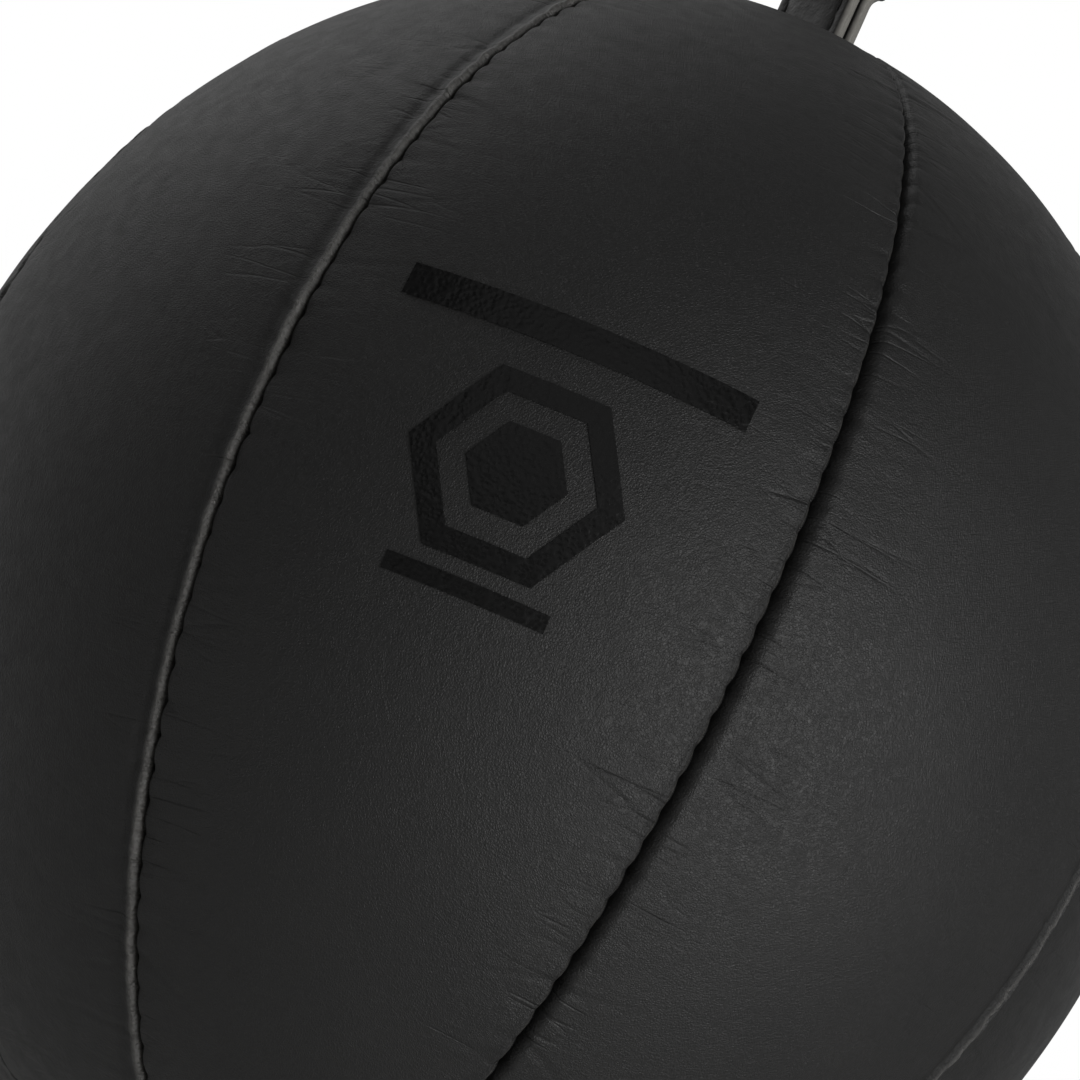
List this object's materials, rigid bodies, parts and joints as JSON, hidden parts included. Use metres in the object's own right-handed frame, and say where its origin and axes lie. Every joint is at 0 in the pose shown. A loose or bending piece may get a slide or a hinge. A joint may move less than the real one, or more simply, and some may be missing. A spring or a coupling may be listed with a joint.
{
  "type": "double-end training ball",
  "caption": "Black leather ball sewn from long panels, with a strap loop at each pole, laced at the back over an inflatable bladder.",
  "frame": {"origin": "centre of the ball, midway between the two loops", "axes": "+Z along the axis to the upper loop, as the ball hangs; X along the loops' width, which is their fold axis; the printed front panel faces midway between +X and -Y; the lace is at the back"},
  "size_m": [0.1984, 0.1984, 0.2946],
  "materials": {
    "panel_leather": "satin black, fine pebbled grain",
    "strap_leather": "satin black, cut edges lighter",
    "patch_leather": "unfinished split leather, matte",
    "lining_fabric": "plain woven cloth, matte",
    "seam_thread": "waxed twisted thread",
    "lace_cord": "round braided cord, slightly waxed",
    "bladder_rubber": "smooth, matte",
    "valve_rubber": "smooth, matte",
    "emblem_print": "thin glossy black print"
  },
  "bodies": {
    "ball": {"panel_1": "panel_leather", "panel_2": "panel_leather", "panel_3": "panel_leather", "panel_4": "panel_leather", "panel_5": "panel_leather", "panel_6": "panel_leather", "panel_7": "panel_leather", "panel_8": "panel_leather", "lining_1": "lining_fabric", "lining_2": "lining_fabric", "lining_3": "lining_fabric", "lining_4": "lining_fabric", "lining_5": "lining_fabric", "lining_6": "lining_fabric", "lining_7": "lining_fabric", "lining_8": "lining_fabric", "seam_thread_1": "seam_thread", "seam_thread_2": "seam_thread", "seam_thread_3": "seam_thread", "seam_thread_4_lower": "seam_thread", "seam_thread_4_upper": "seam_thread", "seam_thread_5": "seam_thread", "seam_thread_6": "seam_thread", "seam_thread_7": "seam_thread", "seam_thread_8": "seam_thread", "lace": "lace_cord", "tongue": "panel_leather", "bladder": "bladder_rubber", "valve_housing": "valve_rubber", "valve_core": "bladder_rubber", "top_loop_root": "strap_leather", "bottom_loop_root": "strap_leather", "top_bladder_patch": "patch_leather", "bottom_bladder_patch": "patch_leather"},
    "top_loop": {"top_loop": "strap_leather"},
    "bottom_loop": {"bottom_loop": "strap_leather"}
  },
  "joints": [
    {"name": "top_loop_fold", "type": "hinge", "parent": "ball", "child": "top_loop", "pos_m": [0, 0, 0.1111], "axis": [1, 0, 0], "range_deg": [-70, 70], "stiffness_Nm_per_rad": 0.02},
    {"name": "bottom_loop_fold", "type": "hinge", "parent": "ball", "child": "bottom_loop", "pos_m": [0, 0, -0.1111], "axis": [1, 0, 0], "range_deg": [-70, 70], "stiffness_Nm_per_rad": 0.02}
  ]
}
